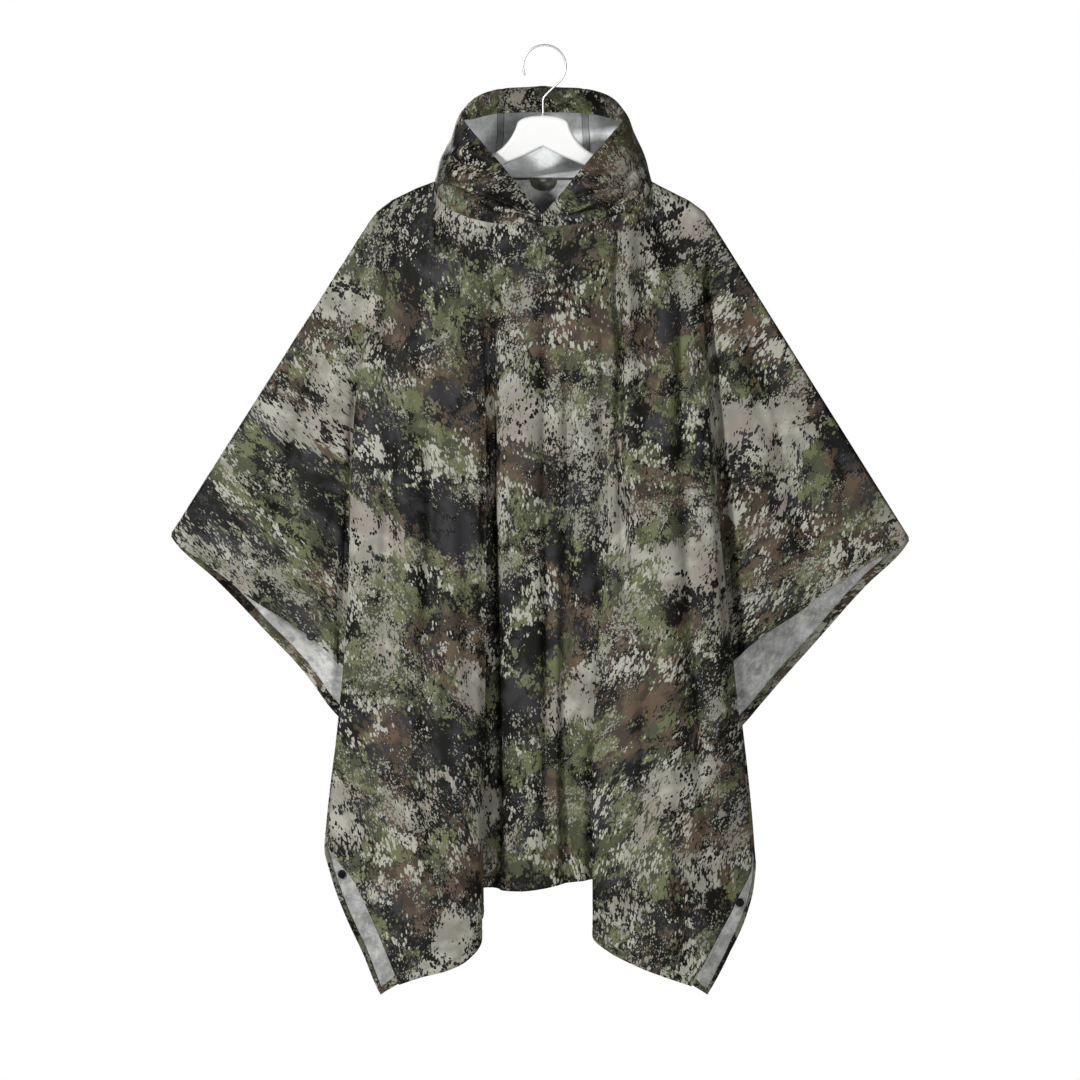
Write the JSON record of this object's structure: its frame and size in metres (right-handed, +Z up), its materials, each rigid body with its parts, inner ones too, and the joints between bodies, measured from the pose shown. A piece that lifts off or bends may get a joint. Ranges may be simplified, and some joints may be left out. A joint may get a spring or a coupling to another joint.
{
  "type": "rain poncho on a hanger",
  "caption": "Hooded rain poncho in camouflage coated cloth, hung over a flat white hanger so that its sides fall as wings and its body in deep folds.",
  "frame": {"origin": "inside top of the hanger's hook, where a rail or a peg holds it", "axes": "+X to the right as the front is seen, -Y towards the viewer of the front, +Z up"},
  "size_m": [1.032, 0.2278, 1.3328],
  "materials": {
    "camouflage": "matt printed face, grey coated back",
    "webbing": "woven, matt",
    "stud": "black, semi-gloss",
    "white_paint": "smooth white paint",
    "wire": "bright plated steel"
  },
  "bodies": {
    "root": {"front_panel": "camouflage", "back_panel": "camouflage", "hood_left": "camouflage", "hood_centre": "camouflage", "hood_right": "camouflage", "hanging_loop": "webbing", "stud_left_wing": "stud", "stud_left_side": "stud", "stud_right_side": "stud", "stud_right_front": "stud", "hanger": "white_paint", "hook": "wire"}
  },
  "joints": []
}
